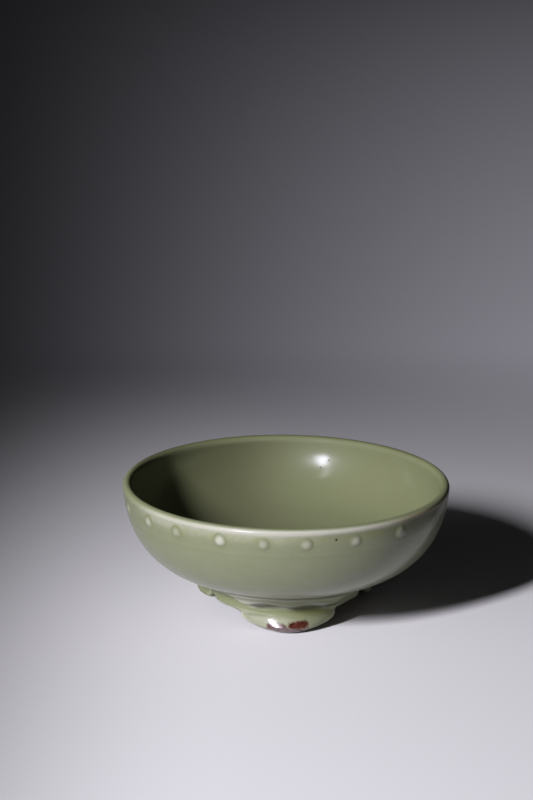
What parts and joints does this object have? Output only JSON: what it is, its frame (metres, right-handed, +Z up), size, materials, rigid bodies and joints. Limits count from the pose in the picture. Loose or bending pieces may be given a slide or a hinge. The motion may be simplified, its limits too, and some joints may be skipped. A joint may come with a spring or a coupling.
{
  "type": "brush washer",
  "caption": "Round shallow celadon bowl for rinsing ink brushes, with a rounded lip, a ring of small studs and cloud-shaped feet.",
  "frame": {"origin": "on the table under the bowl's axis, at the level of the feet's soles", "axes": "+Z up along the bowl's axis; -Y towards the front foot (2 degrees off it) and the picture's camera; +X to the right in the picture"},
  "size_m": [0.1666, 0.1657, 0.0662],
  "materials": {
    "bowl_glaze": "thick, soft-gloss grey-green celadon glaze over fired stoneware",
    "foot_glaze": "the same celadon glaze, thin and pale on the toes, wiped from the soles, where the body is burnt red-brown",
    "stud_glaze": "the same celadon glaze, thin and pale over the studs"
  },
  "bodies": {
    "root": {"bowl": "bowl_glaze", "foot_front": "foot_glaze", "foot_rear_left": "foot_glaze", "foot_rear_right": "foot_glaze", "stud_01": "stud_glaze", "stud_02": "stud_glaze", "stud_03": "stud_glaze", "stud_04": "stud_glaze", "stud_05": "stud_glaze", "stud_06": "stud_glaze", "stud_07": "stud_glaze", "stud_08": "stud_glaze", "stud_09": "stud_glaze", "stud_10": "stud_glaze", "stud_11": "stud_glaze", "stud_12": "stud_glaze", "stud_13": "stud_glaze", "stud_14": "stud_glaze", "stud_15": "stud_glaze", "stud_16": "stud_glaze", "stud_17": "stud_glaze", "stud_18": "stud_glaze", "stud_19": "stud_glaze", "stud_20": "stud_glaze", "stud_21": "stud_glaze", "stud_22": "stud_glaze"}
  },
  "joints": []
}
